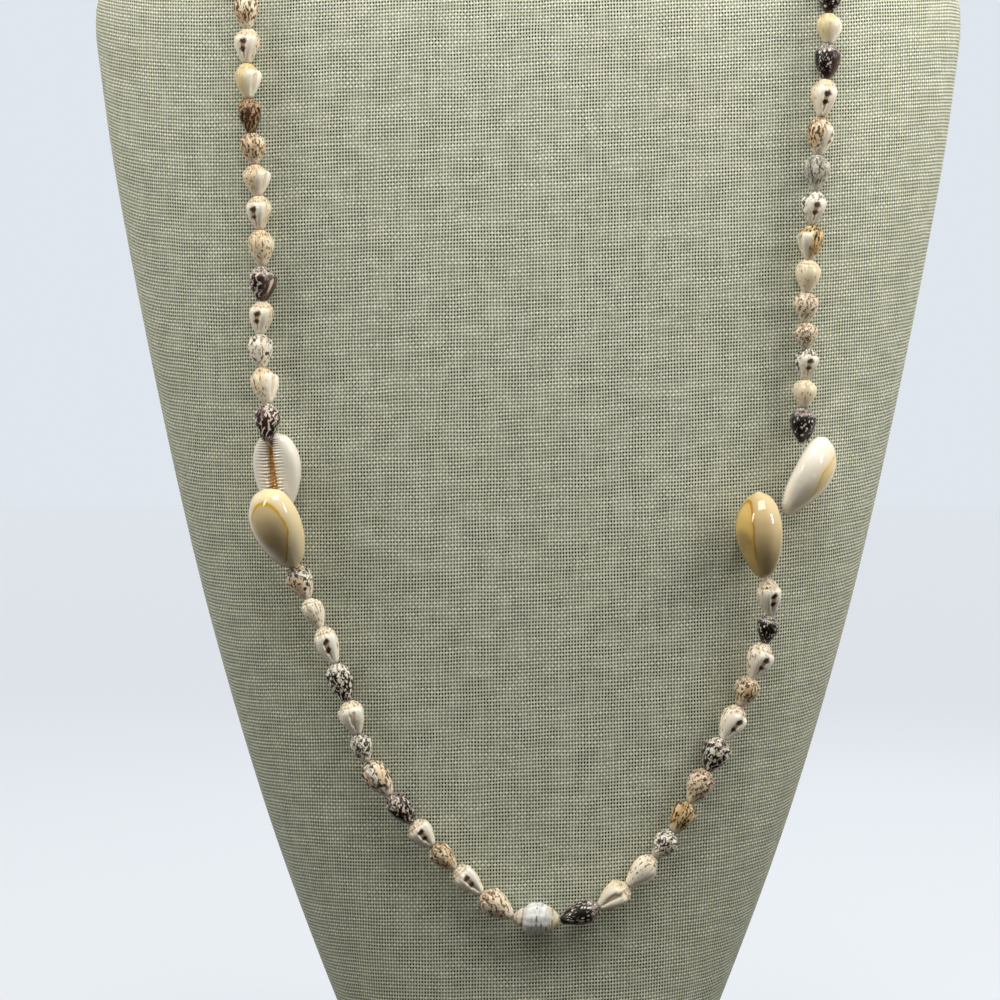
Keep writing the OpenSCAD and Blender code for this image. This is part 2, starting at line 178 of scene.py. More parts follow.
# %% Terms and finishes
class Term:
    """A value or colour inside a finish."""

    def __init__(self, finish, socket):
        self.finish, self.socket = finish, socket

    def math(self, operation, *values):
        inputs = dict(enumerate((self,) + values))
        return self.finish.node("ShaderNodeMath", {"operation": operation}, inputs)

    def __add__(self, other):
        return self.math("ADD", other)

    def __sub__(self, other):
        return self.math("SUBTRACT", other)

    def __mul__(self, other):
        return self.math("MULTIPLY", other)

    def __truediv__(self, other):
        return self.math("DIVIDE", other)

    def __pow__(self, other):
        return self.math("POWER", other)

    def __rsub__(self, other):
        return self.math("MULTIPLY", -1) + other

    __radd__ = __add__
    __rmul__ = __mul__

    def floor(self):
        return self.math("FLOOR")

    def fract(self):
        return self.math("FRACT")

    def size(self):
        return self.math("ABSOLUTE")

    def most(self, other):
        return self.math("MAXIMUM", other)

    def least(self, other):
        return self.math("MINIMUM", other)

    def rise(self, low, high):
        """0 below low and 1 above high, with a smooth step between."""
        inputs = {"Value": self, "From Min": low, "From Max": high}
        return self.finish.node("ShaderNodeMapRange", {"interpolation_type": "SMOOTHSTEP"}, inputs)

    def fall(self, low, high):
        return 1 - self.rise(low, high)


class Finish:
    """A material that is being made."""

    def __init__(self, name):
        self.material = bpy.data.materials.new(name)
        self.material.use_nodes = True
        self.tree = self.material.node_tree
        self.tree.nodes.clear()
        self.shader = self.tree.nodes.new("ShaderNodeBsdfPrincipled")
        output = self.tree.nodes.new("ShaderNodeOutputMaterial")
        self.tree.links.new(self.shader.outputs[0], output.inputs["Surface"])

    def node(self, kind, settings=None, inputs=None, output=0):
        """Adds a node, sets it up, and returns one of its outputs."""
        made = self.tree.nodes.new(kind)
        for key, value in (settings or {}).items():
            setattr(made, key, value)
        for key, value in (inputs or {}).items():
            self.plug(made.inputs[key], value)
        return Term(self, made.outputs[output])

    def plug(self, socket, value):
        if isinstance(value, Term):
            self.tree.links.new(value.socket, socket)
        else:
            socket.default_value = value

    def set(self, **values):
        """Sets the shader's sockets, with _ for a space in their names."""
        for key, value in values.items():
            self.plug(self.shader.inputs[key.replace("_", " ")], value)

    def attribute(self, name, output="Fac"):
        return self.node("ShaderNodeAttribute", {"attribute_name": name}, output=output)

    def parts(self, vector):
        made = self.node("ShaderNodeSeparateXYZ", inputs={0: vector})
        return [Term(self, socket) for socket in made.socket.node.outputs]

    def vector(self, x, y, z):
        return self.node("ShaderNodeCombineXYZ", inputs={0: x, 1: y, 2: z})

    def scaled(self, vector, x, y, z):
        return self.node("ShaderNodeVectorMath", {"operation": "MULTIPLY"}, {0: vector, 1: (x, y, z)})

    def mix(self, share, a, b):
        """Colour a where share is 0 and colour b where it is 1."""
        return self.node("ShaderNodeMix", {"data_type": "RGBA"}, {0: share, 6: a, 7: b}, output=2)

    def noise(self, vector, scale, detail=2.0, rough=0.5):
        inputs = {"Vector": vector, "Scale": scale, "Detail": detail, "Roughness": rough}
        return self.node("ShaderNodeTexNoise", inputs=inputs)

    def bump(self, height, strength, distance):
        inputs = {"Height": height, "Strength": strength, "Distance": distance}
        return self.node("ShaderNodeBump", inputs=inputs)


def ink(red, green, blue):
    """A colour as it is read off a photograph, 0 to 255, for the shader."""
    def linear(c):
        c = c / 255
        return c / 12.92 if c <= 0.04045 else ((c + 0.055) / 1.055) ** 2.4
    return (linear(red), linear(green), linear(blue), 1.0)


# %% Floor, room and lights
pale = ink(224, 230, 237)
warm, daylight = (1, 0.94, 0.84), (1, 0.97, 0.92)
bpy.ops.mesh.primitive_plane_add(size=120, location=(0, 0, 0))
floor = named("floor")
floor_finish = Finish("pale floor")
floor_finish.set(Base_Color=ink(112, 114, 117), Roughness=0.85)
floor_finish.set(Emission_Color=pale, Emission_Strength=0.80)
floor.data.materials.append(floor_finish.material)
floor.visible_diffuse = floor.visible_glossy = False

room = bpy.data.worlds.new("room")
bpy.context.scene.world = room
room.use_nodes = True
sky = room.node_tree
sky.nodes.clear()
place = sky.nodes.new("ShaderNodeTexCoord")
split = sky.nodes.new("ShaderNodeSeparateXYZ")
sky.links.new(place.outputs["Generated"], split.inputs[0])


def sky_node(kind, inputs, settings=None, output=0):
    made = sky.nodes.new(kind)
    for key, value in (settings or {}).items():
        setattr(made, key, value)
    for key, value in inputs.items():
        if hasattr(value, "is_output"):
            sky.links.new(value, made.inputs[key])
        else:
            made.inputs[key].default_value = value
    return made.outputs[output]


def sky_mix(share, a, b):
    return sky_node("ShaderNodeMix", {0: share, 6: a, 7: b}, {"data_type": "RGBA"}, 2)


raised = sky_node("ShaderNodeMapRange", {"Value": split.outputs["Z"], "From Min": -0.4, "From Max": 0.7})
behind = sky_node("ShaderNodeMapRange", {"Value": split.outputs["Y"], "From Min": 0.1, "From Max": 0.8})
light = sky_mix(behind, sky_mix(raised, ink(48, 45, 38), ink(186, 181, 170)), pale)
seen = sky.nodes.new("ShaderNodeLightPath").outputs["Is Camera Ray"]
glow = sky_node("ShaderNodeBackground", {"Color": sky_mix(seen, light, pale)})
world_out = sky.nodes.new("ShaderNodeOutputWorld")
sky.links.new(glow, world_out.inputs["Surface"])


def add_light(name, place, aim, size, power, tint=(1, 1, 1), soft=True, gloss=True):
    """A soft box turned towards its aim. soft lights the matt surfaces, gloss shows as a highlight."""
    data = bpy.data.lights.new(name, "AREA")
    data.shape = "RECTANGLE"
    data.size, data.size_y = size
    data.energy = power
    data.color = tint
    lamp = bpy.data.objects.new(name, data)
    lamp.location = place
    lamp.rotation_euler = (Vector(aim) - Vector(place)).to_track_quat("-Z", "Y").to_euler()
    lamp.visible_camera = False
    lamp.visible_diffuse = soft
    lamp.visible_glossy = gloss
    bpy.context.scene.collection.objects.link(lamp)


chest = (0, -0.04, 0.18)
add_light("key", (0.03, -0.25, 0.55), chest, (0.26, 0.20), 1.2, (1, 0.955, 0.89))
add_light("fill left", (-0.46, -0.16, 0.48), chest, (0.3, 0.3), 1.65, warm, gloss=False)
add_light("fill right", (0.46, -0.16, 0.46), chest, (0.3, 0.3), 2.25, warm, gloss=False)
add_light("window left", (-0.42, -0.42, 0.42), chest, (0.04, 0.26), 0.8, daylight, soft=False)
add_light("window right", (0.46, -0.40, 0.40), chest, (0.04, 0.24), 1.0, daylight, soft=False)
add_light("rear", (0.2, 0.75, 0.7), chest, (0.5, 0.4), 2.5)

# %% [markdown]
# ## The linen covered bust
# The bust's solid is already right but has flat facets. Its copy is merged,
# turned back into four-sided faces and smoothed once. The foot's edge stays
# sharp and the top's edge nearly so. The cloth is pulled round the form, so the
# weave needs coordinates that follow the surface: the distance round from the
# middle of the front, and the height. The threads rise at the sides, as on the
# real one. The flat top and foot take their weave straight from above.

# %% Bust form
bust = merged_copy(nodes["neck_bust"], "linen_bust")
pick(bust, lambda f: True, "FACE")
bpy.ops.mesh.tris_convert_to_quads(face_threshold=math.radians(60), shape_threshold=math.radians(60))
done()
bust_top = max(v.co.z for v in bust.data.vertices)
heights = sorted({round(v.co.z / MM, 2) for v in bust.data.vertices})
print("rings:", len(heights), "faces:", len(bust.data.polygons))

# %% Weave coordinates
# The tilt of the cross threads in degrees, by distance round from the middle
# of the front in millimetres
thread_tilt = [
    (-300, 0), (-175, 0), (-122, -18), (-92, -5), (-72, 2), (0, 2.5), (60, 5), (108, 9), (175, 0), (300, 0)
]


def between(table, x):
    """The second column of a table at x, in straight steps."""
    x = held(x, table[0][0], table[-1][0])
    for (x0, y0), (x1, y1) in zip(table, table[1:]):
        if x <= x1:
            return y0 + (y1 - y0) * (x - x0) / (x1 - x0)


def lift_of_threads():
    """How far the cross threads have risen by each distance round, in mm."""
    far, stride = 300, 2
    table = [(0, 0.0)]
    for side in (1, -1):
        lift = 0.0
        for x in range(0, far, stride):
            tilt = between(thread_tilt, side * (x + stride / 2))
            lift += side * stride * math.tan(math.radians(tilt))
            table.append((side * (x + stride), lift))
    return sorted(table)


thread_lift = lift_of_threads()


def turn_of(point):
    """The angle of a point round the bust from the middle of its front."""
    return math.atan2(point.x, -point.y)


def point_below(v, ring):
    """The point of a lower ring that lies nearest to straight below v."""
    return min(ring, key=lambda w: abs(math.remainder(turn_of(w.co) - turn_of(v.co), math.tau)))


rings = {}
for v in bust.data.vertices:
    rings.setdefault(round(v.co.z / MM, 1), []).append(v)
levels = sorted(rings)

# The distance round from the middle of the front, for each half by itself
around = {}
for level in levels:
    for side in (1, -1):
        half = [v for v in rings[level] if side * v.co.x > -0.05 * MM]
        half.sort(key=lambda v: side * turn_of(v.co) % math.tau)
        reach, before = 0.0, None
        for v in half:
            if before is not None:
                reach += (v.co - before.co).length / MM
            around[(v.index, side)] = side * reach
            before = v

# The height, which follows the slope of the surface above the shoulder line
shoulder_line = 268.0
along = {v.index: v.co.z / MM for v in bust.data.vertices}
for level, above in zip(levels, levels[1:]):
    if above > shoulder_line:
        for v in rings[above]:
            below = point_below(v, rings[level])
            along[v.index] = along[below.index] + (v.co - below.co).length / MM

# Faces this near to the top or the foot are flat
flat_depth = 2 * MM
weave = bust.data.uv_layers.new(name="weave")
for face in bust.data.polygons:
    flat = abs(face.normal.z) > 0.9 and not flat_depth < face.center.z < bust_top - flat_depth
    side = 1 if face.center.x > 0 else -1
    for loop in face.loop_indices:
        i = bust.data.loops[loop].vertex_index
        co = bust.data.vertices[i].co
        if flat:
            weave.data[loop].uv = (co.x, co.y)
        else:
            round_it = around.get((i, side), around.get((i, -side), 0.0))
            weave.data[loop].uv = (round_it * MM, (along[i] - between(thread_lift, round_it)) * MM)
print("girth at the shoulders in mm:", round(2 * max(around.values())))


# %% Smooth the bust and keep its foot sharp
def crease(obj, test, value):
    """Keeps the edges sharp whose ends both have a height that passes the test."""
    pick(obj, lambda e: all(test(obj.data.vertices[i].co.z) for i in e.vertices), "EDGE")
    bpy.ops.transform.edge_crease(value=value)
    done()


hair = 0.01 * MM
crease(bust, lambda z: z < hair, 1)
crease(bust, lambda z: z > bust_top - hair, 0.6)
smooth_over(bust, 1)
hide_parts("neck_bust")
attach(bust, "root")
print("bust faces:", len(bust.data.polygons))

# %% [markdown]
# ### Linen
# A coarse plain weave: each thread passes over one and under the next. The
# warp runs up the bust and the weft across it. Where four threads meet, a
# small hole stays, painted as a dark dot of shade. Hand spun flax is uneven,
# so each thread has its own tone and thickness, which changes slowly along it.

# %% Linen finish
linen = Finish("linen")
warp_pitch, weft_pitch = 0.78 * MM, 0.92 * MM
place = linen.node("ShaderNodeUVMap", {"uv_map": "weave"})
wander = linen.noise(place, 90, 1.0)
u, v, _ = linen.parts(place)
sway = (wander - 0.5) * 0.7
warp = u / warp_pitch + sway
weft = v / weft_pitch - sway
warp_number, weft_number = warp.floor(), weft.floor()
# 1 where the warp passes over the weft, 0 where it passes under
over = ((warp_number + weft_number) / 2).fract().rise(0.2, 0.3)
across_warp, across_weft = (warp.fract() - 0.5) * 2, (weft.fract() - 0.5) * 2

# Each thread's own tone and thickness, from a noise that jumps from thread to
# thread and changes slowly along it
jump, slow = 3.7, 14
warp_tone = linen.noise(linen.vector(warp_number * jump, weft / slow, 0.0), 1.0, 2.0, 0.7)
weft_tone = linen.noise(linen.vector(warp / slow, weft_number * jump, 7.0), 1.0, 2.0, 0.7)
warp_width = 0.62 + warp_tone * 0.30
weft_width = 0.60 + weft_tone * 0.32

# The height of a round thread, which dips where it passes under
warp_round = (1 - (across_warp / warp_width) ** 2).most(0.0) ** 0.5
weft_round = (1 - (across_weft / weft_width) ** 2).most(0.0) ** 0.5
warp_crown = 1 - across_weft * across_weft * 0.45
weft_crown = 1 - across_warp * across_warp * 0.45
warp_height = warp_round * (over * 0.5 + 0.5) * warp_crown
weft_height = weft_round * (1 - over * 0.5) * weft_crown
height = warp_height.most(weft_height)
shows_warp = (warp_height - weft_height).rise(-0.05, 0.05)
tone = weft_tone + (warp_tone - weft_tone) * shows_warp

# Colour: large patches, painted shade on the sides of the threads, and the holes painted dark as shade
patches = linen.noise(place, 22, 2.0)
pit = linen.noise(linen.vector((warp + 0.5).floor() * 1.7, (weft + 0.5).floor() * 1.7, 3.0), 1.0, 0.0)
open_weave = linen.noise(place, 170, 2.0)
thread_colour = linen.mix(tone.rise(0.30, 0.70), ink(204, 212, 194), ink(242, 246, 232))
thread_colour = linen.mix(patches.rise(0.35, 0.75) * 0.2, thread_colour, ink(222, 222, 196))
thread_colour = linen.mix(shows_warp * 0.30, thread_colour, ink(160, 168, 148))
# Painted shade: each thread is darker at its sides, where it dips
thread_colour = linen.mix(height.fall(0.30, 0.85) * 0.28, thread_colour, ink(120, 127, 104))
# Painted shade: the holes between the threads are dark dots standing in for the shade inside them
hole_shade = across_warp.size().rise(0.27, 0.63) * across_weft.size().rise(0.21, 0.56)
hole_shade = hole_shade * (0.70 + open_weave.rise(0.38, 0.60) * 0.18 + pit.rise(0.35, 0.60) * 0.12)
colour = linen.mix(hole_shade, thread_colour, ink(8, 13, 5))
linen.set(Base_Color=colour, Roughness=0.92, Normal=linen.bump(height, 0.5, 0.22 * MM))
linen.set(Specular_IOR_Level=0.2, Sheen_Weight=0.08, Sheen_Roughness=0.5)
bust.data.materials.append(linen.material)
print("linen: warp", warp_pitch / MM, "weft", weft_pitch / MM, "mm")

# %% [markdown]
# ## The thread
# One white twisted thread joins all the shells. Its solid is right as it is
# and mostly hidden, so it only gets a finish.

# %% Thread finish
cotton = Finish("white thread")
place = cotton.node("ShaderNodeTexCoord", output="Object")
twist = cotton.noise(place, 2600, 1.0)
cotton.set(Base_Color=cotton.mix(twist, ink(196, 188, 168), ink(240, 238, 228)), Roughness=0.85)
cotton.set(Normal=cotton.bump(twist, 0.4, 0.1 * MM))
thread = nodes["thread"]
thread.data.materials.clear()
thread.data.materials.append(cotton.material)


# %% [markdown]
# ## Marks on a shell
# Every shell's finish works in the shell's own space, so that a pattern turns
# with it. The mesh carries that space as an attribute, together with soft
# masks for the lip and the mouth, and each copy carries its own colours.

# %% Masks and colours on a mesh
def set_values(obj, name, kind, values):
    """Stores one value for each point of a mesh."""
    field = {"FLOAT": "value", "FLOAT_VECTOR": "vector", "FLOAT_COLOR": "color"}[kind]
    mesh = obj.data
    layer = mesh.attributes.get(name) or mesh.attributes.new(name, kind, "POINT")
    flat = values if kind == "FLOAT" else [c for value in values for c in value]
    layer.data.foreach_set(field, flat)


def set_one(obj, name, kind, value):
    set_values(obj, name, kind, [value] * len(obj.data.vertices))


def mask_faces(obj, name, test):
    """1 on the points of the faces for which test is true, else 0."""
    mask = [0.0] * len(obj.data.vertices)
    for face in obj.data.polygons:
        if test(face):
            for i in face.vertices:
                mask[i] = 1.0
    set_values(obj, name, "FLOAT", mask)


def angle_of(point):
    """Degrees round the shell from the middle of its mouth towards its lip."""
    return math.degrees(math.atan2(point.y, point.x))


def resize_rings(obj, table):
    """Scales each ring of points of an upright form to its radius in the table."""
    for station, radius in table:
        pick(obj, lambda v: abs(v.co.z - station) < 1e-4)
        bpy.ops.transform.resize(value=(radius, radius, 1), center_override=(0, 0, station))
        done()


# %% [markdown]
# ## The dove shell
# A dove shell is a small sea snail's shell: a wide knobbly spire, a long body
# whorl that narrows to the tip, and a narrow mouth with a thick white lip. It
# is modelled twice, plain and with stronger knobs, standing on its tip, one unit
# high and one unit in radius, with its mouth facing +X. A cylinder is cut into
# rings, the rings are sized, the mouth is pushed in and the lip pulled out.

# %% Dove shell form
# Height above the tip and radius, both as shares
dove_rings = [
    (0.05, 0.41), (0.12, 0.51), (0.20, 0.63), (0.29, 0.75), (0.38, 0.86), (0.47, 0.94), (0.56, 0.99),
    (0.64, 1.00), (0.71, 0.97), (0.77, 0.91), (0.80, 0.83), (0.815, 0.75), (0.84, 0.77), (0.87, 0.74),
    (0.895, 0.65), (0.91, 0.55), (0.93, 0.55), (0.965, 0.43), (0.985, 0.30)
]
dove_sides = 32
dove_mouth_depth = 0.08
# Height and width of the seams between the whorls
dove_seams = ((0.815, 0.016), (0.91, 0.014))
# Degrees from the mouth to the start of the outer whorl
whorl_start = 50


def step(low, high, x):
    """0 below low and 1 above high, with a smooth step between."""
    share = held((x - low) / (high - low))
    return share * share * (3 - 2 * share)


def hump(middle, width, x):
    return math.exp(-((x - middle) / width) ** 2)


def whorl_turn(x, y):
    """The angle round a shell from where its outer whorl starts."""
    return (math.atan2(y, x) - math.radians(whorl_start)) % math.tau


def ringed_form(name, sides, rings, foot, head):
    """An upright form, one unit high, with the radii of its rings and of its two ends."""
    bpy.ops.object.select_all(action="DESELECT")
    bpy.ops.mesh.primitive_cylinder_add(
        vertices=sides, radius=1, depth=1, end_fill_type="TRIFAN", location=(0, 0, 0.5))
    bpy.ops.object.transform_apply()
    obj = named(name)
    for station, _ in rings:
        pick(obj, lambda v: True)
        bpy.ops.mesh.bisect(plane_co=(0, 0, station), plane_no=(0, 0, 1))
        done()
    resize_rings(obj, rings + [(0.0, foot), (1.0, head)])
    return obj


def model_dove_shell(name, knob):
    """One dove shell, with more or less of a knobbly shoulder."""
    obj = ringed_form(name, dove_sides, dove_rings, 0.28, 0.14)
    push_in_mouth(obj, dove_mouth_depth)
    seams = [sum(hump(height, width, v.co.z) for height, width in dove_seams) for v in obj.data.vertices]
    set_values(obj, "seam", "FLOAT", seams)
    for v in obj.data.vertices:
        swell_dove(v, knob)
    smooth_over(obj, 1)
    set_values(obj, "place", "FLOAT_VECTOR", [tuple(v.co) for v in obj.data.vertices])
    return obj


def swell_dove(v, knob):
    """Rounds the lip, raises the knobs, winds the spire and slants the mouth."""
    x, y, z = v.co
    turn = whorl_turn(x, y)
    beside = angle_of(v.co)
    mouth_part = step(-0.05, 0.10, z) * (1 - step(0.68, 0.88, z))
    lip = 0.20 * hump(33, 17, beside) - 0.07 * hump(66, 13, beside) + 0.05 * hump(-34, 20, beside)
    swell = max(0, 1 - abs(z - 0.78) / 0.10) + 0.6 * max(0, 1 - abs(z - 0.90) / 0.045)
    out = (1 + lip * mouth_part) * (1 + knob * swell * (0.2 + math.cos(8 * turn + 4 * z)))
    spire = step(0.64, 0.78, z) * (1 - step(0.95, 1.0, z))
    slant = math.radians(24) * (z - 0.42)
    x, y = out * x, out * y
    v.co.x = x * math.cos(slant) - y * math.sin(slant)
    v.co.y = x * math.sin(slant) + y * math.cos(slant)
    v.co.z = -0.02 + 1.04 * (z + spire * 0.075 * (0.5 - turn / math.tau))


def push_in_mouth(obj, depth):
    """Pushes the mouth's faces in and marks the lip, the wall beside it and the mouth."""
    def lip_share(point):
        rim = step(-4, 6, angle_of(point)) * (1 - step(40, 66, angle_of(point)))
        wall = 0.70 * step(-88, -40, angle_of(point)) * (1 - step(-6, 4, angle_of(point)))
        return max(rim, wall) * (1 - step(0.70, 0.86, point.z))

    def mouth(face):
        low, high = (0.04, 0.70) if abs(angle_of(face.center)) < 12 else (0.16, 0.62)
        tall = low < face.center.z < high
        return -24 < angle_of(face.center) < 12 and tall and abs(face.normal.z) < 0.9

    pick(obj, mouth, "FACE")
    bpy.ops.mesh.inset(thickness=0.05, depth=-0.04)
    bpy.ops.mesh.extrude_region_move(TRANSFORM_OT_translate={"value": (-depth, 0, 0)})
    bpy.ops.transform.resize(value=(1, 0.85, 0.94), center_override=(0.5, -0.1, 0.38))
    done()
    chosen = [f.index for f in obj.data.polygons if f.select]
    mask_faces(obj, "mouth", lambda f: f.index in chosen)
    set_values(obj, "lip", "FLOAT", [lip_share(v.co) for v in obj.data.vertices])


plain_dove = model_dove_shell("plain_dove_shell", 0.10)
knobbly_dove = model_dove_shell("knobbly_dove_shell", 0.20)
print("dove shell faces:", len(plain_dove.data.polygons))

# %% [markdown]
# ### Where each shell lies
# A solid shell is a ring of points drawn along its drilled hole. The hole's
# long edges give its axis and both ends. The dent in its widest ring is the
# middle of the mouth. With these the finished shell is fitted over the solid.


# %% Measure a drilled solid
# Radius of a solid in the middle of its mouth, as a share of its widest
dent_share = 0.84


def drilled_frame(obj, tip_is_narrow):
    """The matrix that takes the upright model to the place of a drilled solid."""
    points = [v.co for v in obj.data.vertices]
    edges = [[points[i] for i in e.vertices] for e in obj.data.edges]
    edges.sort(key=lambda e: (e[1] - e[0]).length)
    longest = (edges[-1][1] - edges[-1][0]).length
    bore = [e for e in edges if (e[1] - e[0]).length > 0.97 * longest]
    lead = (bore[0][1] - bore[0][0]).normalized()
    bore = [e if (e[1] - e[0]).dot(lead) > 0 else e[::-1] for e in bore]
    low = sum((e[0] for e in bore), Vector()) / len(bore)
    high = sum((e[1] for e in bore), Vector()) / len(bore)
    up = (high - low).normalized()

    def reach(p):
        return (p - low - (p - low).dot(up) * up).length

    widest = max(points, key=reach)
    station = (widest - low).dot(up) / (high - low).length
    flip = station < 0.5 if tip_is_narrow else low.x < high.x
    level = (widest - low).dot(up)
    waist = [p for p in points if abs((p - low).dot(up) - level) < 0.02 * (high - low).length]
    dent = min(waist, key=reach)
    radius = reach(dent) / dent_share
    if flip:
        low, high, up = high, low, -up
    mouth = (dent - low - (dent - low).dot(up) * up).normalized()
    side = up.cross(mouth)
    turn = Matrix((mouth, side, up)).transposed().to_4x4()
    size = Matrix.Diagonal((radius, radius, (high - low).length, 1))
    return Matrix.Translation(low) @ turn @ size


def loose_parts(node):
    """Every separate solid of a CAD node, as objects of their own."""
    obj = merged_copy(nodes[node], "part_of_" + node)
    pick(obj, lambda v: True)
    bpy.ops.mesh.separate(type="LOOSE")
    done()
    return [o for o in bpy.context.scene.objects if o.name.startswith("part_of_" + node)]


def strung(node, start):
    """The frames of a string's shells in their order, from the point start on."""
    parts = loose_parts(node)
    left = [drilled_frame(o, True) for o in parts]
    for o in parts:
        bpy.data.objects.remove(o)
    order = []
    while left:
        nearest = min(left, key=lambda m: (m.translation - start).length)
        left.remove(nearest)
        order.append(nearest)
        start = nearest @ Vector((0, 0, 1))
    return order


def middle(node):
    low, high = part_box(node)
    return (low + high) / 2


def frame_of(node, tip_is_narrow=True):
    """The frame of a CAD node that is one drilled solid."""
    solid = merged_copy(nodes[node], "measured")
    where = drilled_frame(solid, tip_is_narrow)
    bpy.data.objects.remove(solid)
    return where


lower_frames = {}
for node in sorted(nodes):
    if node.startswith(("lower_left_shell", "lower_right_shell")):
        lower_frames[node] = frame_of(node)
left_frames = strung("upper_left_string", middle("upper_left_cowrie"))
right_frames = strung("upper_right_string", middle("upper_right_cowrie"))
print("shells:", len(lower_frames), len(left_frames), len(right_frames))

# %% [markdown]
# ### Colours of the dove shells
# No two shells on the string are alike: cream, golden, spotted, striped, or
# nearly black with white flecks and zigzags. One finish draws dots, zigzag lines
# and fine specks, and each shell says how much of each it has, how fine its
# pattern is and in which colours it is drawn.

# %% Looks of the dove shells
# Ground, marks and tint; dots, zigzags and specks; share of the tint; how
# fine the pattern is
looks = {
    "cream": (ink(222, 206, 160), ink(170, 126, 72), ink(232, 220, 184), 0.0, 0.0, 0.15, 0.5, 1.2),
    # white is a brighter copy of pale for the lower strings: painted light, as the lamps reach them less
    "white": (ink(251, 246, 232), ink(140, 98, 56), ink(242, 226, 188), 0.0, 0.0, 0.55, 0.4, 1.0),
    "pale": (ink(236, 229, 210), ink(146, 104, 62), ink(226, 208, 166), 0.0, 0.0, 0.45, 0.5, 1.2),
    # ivory is a lighter copy of cream for shells on the right: painted light where they lie in more shade
    "ivory": (ink(244, 232, 202), ink(150, 106, 62), ink(248, 240, 218), 0.0, 0.0, 0.30, 0.4, 1.2),
    "cream_tan": (ink(242, 232, 206), ink(136, 92, 52), ink(230, 208, 168), 0.15, 0.0, 0.75, 0.6, 1.2),
    "striped": (ink(244, 236, 214), ink(112, 68, 44), ink(234, 214, 178), 0.0, 0.7, 0.30, 0.4, 1.0),
    "tan": (ink(240, 228, 202), ink(82, 46, 26), ink(212, 178, 126), 0.60, 0.0, 1.00, 0.70, 1.1),
    "pink_tan": (ink(240, 226, 202), ink(84, 50, 38), ink(220, 188, 152), 0.20, 0.6, 0.30, 0.5, 1.0),
    "golden": (ink(228, 204, 154), ink(34, 18, 10), ink(188, 142, 80), 0.80, 0.0, 0.90, 0.7, 0.9),
    "spotted": (ink(246, 240, 226), ink(30, 18, 10), ink(238, 222, 192), 1.00, 0.3, 0.30, 0.4, 0.9),
    "harlequin": (ink(252, 248, 236), ink(10, 6, 5), ink(234, 176, 92), 1.20, 0.4, 0.40, 0.45, 0.75),
    "blotched": (ink(252, 249, 240), ink(9, 6, 6), ink(236, 222, 192), 1.00, 0.8, 0.50, 0.3, 0.65),
    "netted": (ink(10, 7, 7), ink(240, 234, 222), ink(26, 16, 14), 1.00, 0.5, 0.30, 0.4, 0.75),
    "dark": (ink(8, 6, 6), ink(236, 226, 218), ink(30, 15, 13), 0.40, 0.0, 0.20, 0.6, 1.3),
    "zigzag": (ink(8, 6, 6), ink(236, 226, 216), ink(72, 30, 22), 0.10, 0.50, 0.10, 0.5, 0.9),
    "brown": (ink(30, 17, 10), ink(190, 156, 112), ink(96, 62, 36), 0.00, 0.45, 0.30, 0.5, 0.8),
    "grey": (ink(210, 208, 196), ink(70, 66, 62), ink(158, 154, 144), 0.40, 0.3, 0.80, 0.6, 1.1),
}

# %% Shell finish
# What each copy says of itself
shell = Finish("dove shell")
place = shell.attribute("place", "Vector")
fine = shell.attribute("fine")
x, y, up = shell.parts(place)
spot = shell.node("ShaderNodeVectorMath", {"operation": "MULTIPLY_ADD"},
                  {0: place, 1: shell.vector(fine, fine, fine), 2: shell.attribute("seed", "Vector")})
ground, marks = shell.attribute("ground", "Color"), shell.attribute("marks", "Color")
tint, rim = shell.attribute("tint", "Color"), shell.attribute("rim", "Color")
dots, zigzag, specks = shell.parts(shell.attribute("amounts", "Vector"))
tint_share, tip_share = shell.attribute("tint_share"), shell.attribute("tip_share")

# Dots and fine specks in a space that is bent a little, and zigzag lines
ripple = shell.noise(spot, 3.0, 1.0)
bent = shell.node("ShaderNodeVectorMath", {"operation": "MULTIPLY_ADD"},
                  {0: shell.vector(ripple, ripple, ripple), 1: (0.25, 0.25, 0.16), 2: spot})
cells = shell.scaled(bent, 1.0, 1.0, 1.9)
near = shell.node("ShaderNodeTexVoronoi", {"feature": "F1"},
                  {"Vector": cells, "Scale": 2.9, "Randomness": 0.8})
chosen = shell.noise(cells, 1.4, 0.0)
dot_mask = near.fall(0.27, 0.36) * (chosen + dots * 0.42).rise(0.64, 0.70) * dots.rise(0.0, 0.1)
grains = shell.noise(shell.scaled(bent, 1.0, 1.0, 0.8), 6.0, 2.0)
speck_mask = (grains + specks * 0.13).rise(0.655, 0.70) * specks.rise(0.0, 0.2)
turn = shell.node("ShaderNodeMath", {"operation": "ARCTAN2"}, {0: y, 1: x}) / math.tau
kink = shell.noise(spot, 5.5, 1.0)
chevron = ((up * 3.6 + kink * 1.2).fract() - 0.5).size() * 1.5
lines = ((turn * 9 + chevron + ripple * 1.2 + kink * 0.8).fract() - 0.5).size()
zig_lines = lines.fall(0.10 + kink * 0.06, 0.13 + kink * 0.10)
zig_mask = zig_lines * zigzag.rise(0.0, 0.5) * (ripple + zigzag * 0.25).rise(0.48, 0.60)
marked = dot_mask.most(zig_mask).most(speck_mask)

# Skin, tip, lip and spire
clouds = shell.noise(spot, 2.0, 2.0)
skin = shell.mix(clouds.rise(0.42, 0.58) * tint_share, ground, tint)
skin = shell.mix(marked * 0.95, skin, marks)
tip = up.fall(0.04, 0.24) * tip_share
lip = shell.attribute("lip").rise(0.10, 0.85)
skin = shell.mix(tip.most(lip * 0.92), skin, rim)
cap = up.rise(0.70, 0.80)
growth = shell.noise(shell.scaled(spot, 9.0, 9.0, 2.5), 1.0, 3.0)
skin = shell.mix(cap * (growth + ripple * 0.3).rise(0.58, 0.74) * 0.5, skin, marks)
skin = shell.mix(shell.attribute("seam").rise(0.2, 0.9) * 0.45, skin, shell.mix(0.5, tint, marks))

